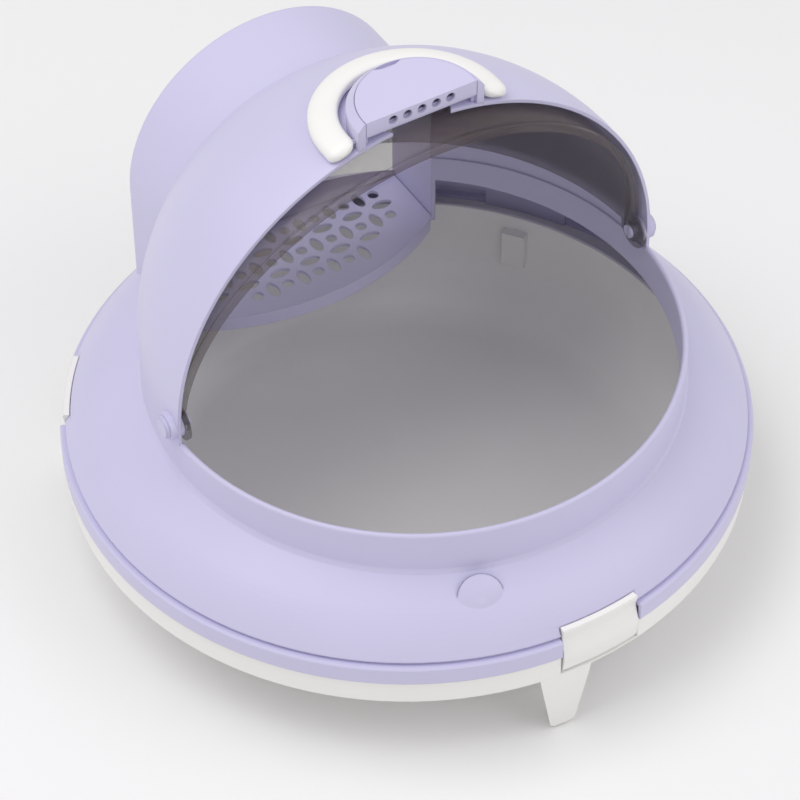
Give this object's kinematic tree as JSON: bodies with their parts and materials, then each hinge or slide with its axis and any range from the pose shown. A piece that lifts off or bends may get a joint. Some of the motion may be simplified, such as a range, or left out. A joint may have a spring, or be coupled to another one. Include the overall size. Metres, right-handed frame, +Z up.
{
  "type": "hooded litter box",
  "caption": "Round hooded pet litter box with a swinging smoked visor, a rear exit tunnel over a drain pedal, a carry handle, a deodorizer and three rim clips.",
  "frame": {"origin": "on the floor under the centre of the round pan", "axes": "+Z up; the entry with the lip faces -Y; the rear tunnel faces +Y; +X is the object's side on the right of a viewer who looks along +Y"},
  "size_m": [0.59, 0.59, 0.463],
  "materials": {
    "lavender_shell": "satin",
    "white_shell": "satin",
    "smoked_visor": "clear tinted",
    "pad_rubber": "matte",
    "pin_steel": "brushed",
    "charcoal": "matte"
  },
  "bodies": {
    "base": {"base_pan": "white_shell", "cover_shell": "lavender_shell", "filter_pedal": "lavender_shell", "visor_pin_left": "lavender_shell", "visor_pin_right": "lavender_shell", "visor_screw_left": "lavender_shell", "visor_screw_right": "lavender_shell", "handle_pin_left": "pin_steel", "handle_pin_right": "pin_steel", "deodorizer_tray": "lavender_shell", "lid_pin": "pin_steel", "carbon_filter": "charcoal", "clip_pin_front": "pin_steel", "clip_pin_left": "pin_steel", "clip_pin_right": "pin_steel", "foot_pad_front": "pad_rubber", "foot_pad_left": "pad_rubber", "foot_pad_right": "pad_rubber"},
    "visor_body": {"visor": "smoked_visor"},
    "handle_body": {"handle": "white_shell"},
    "deodorizer_lid_body": {"deodorizer_lid": "lavender_shell"},
    "clip_front_body": {"clip_front": "white_shell"},
    "clip_left_body": {"clip_left": "white_shell"},
    "clip_right_body": {"clip_right": "white_shell"}
  },
  "joints": [
    {"name": "visor_swing", "type": "hinge", "parent": "base", "child": "visor_body", "pos_m": [0, -0.011, 0.217], "axis": [1, 0, 0], "range_deg": [0, 83]},
    {"name": "handle_swing", "type": "hinge", "parent": "base", "child": "handle_body", "pos_m": [0, -0.016, 0.4435], "axis": [1, 0, 0], "range_deg": [0, 95]},
    {"name": "lid_swing", "type": "hinge", "parent": "base", "child": "deodorizer_lid_body", "pos_m": [0, -0.019, 0.45], "axis": [1, 0, 0], "range_deg": [0, 75]},
    {"name": "clip_front_swing", "type": "hinge", "parent": "base", "child": "clip_front_body", "pos_m": [0.00601, -0.28694, 0.079], "axis": [0.9998, 0.0209, 0], "range_deg": [0, 60]},
    {"name": "clip_left_swing", "type": "hinge", "parent": "base", "child": "clip_left_body", "pos_m": [-0.23849, 0.15966, 0.079], "axis": [-0.5563, -0.831, 0], "range_deg": [0, 60]},
    {"name": "clip_right_swing", "type": "hinge", "parent": "base", "child": "clip_right_body", "pos_m": [0.2316, 0.1695, 0.079], "axis": [-0.5906, 0.807, 0], "range_deg": [0, 60]}
  ]
}
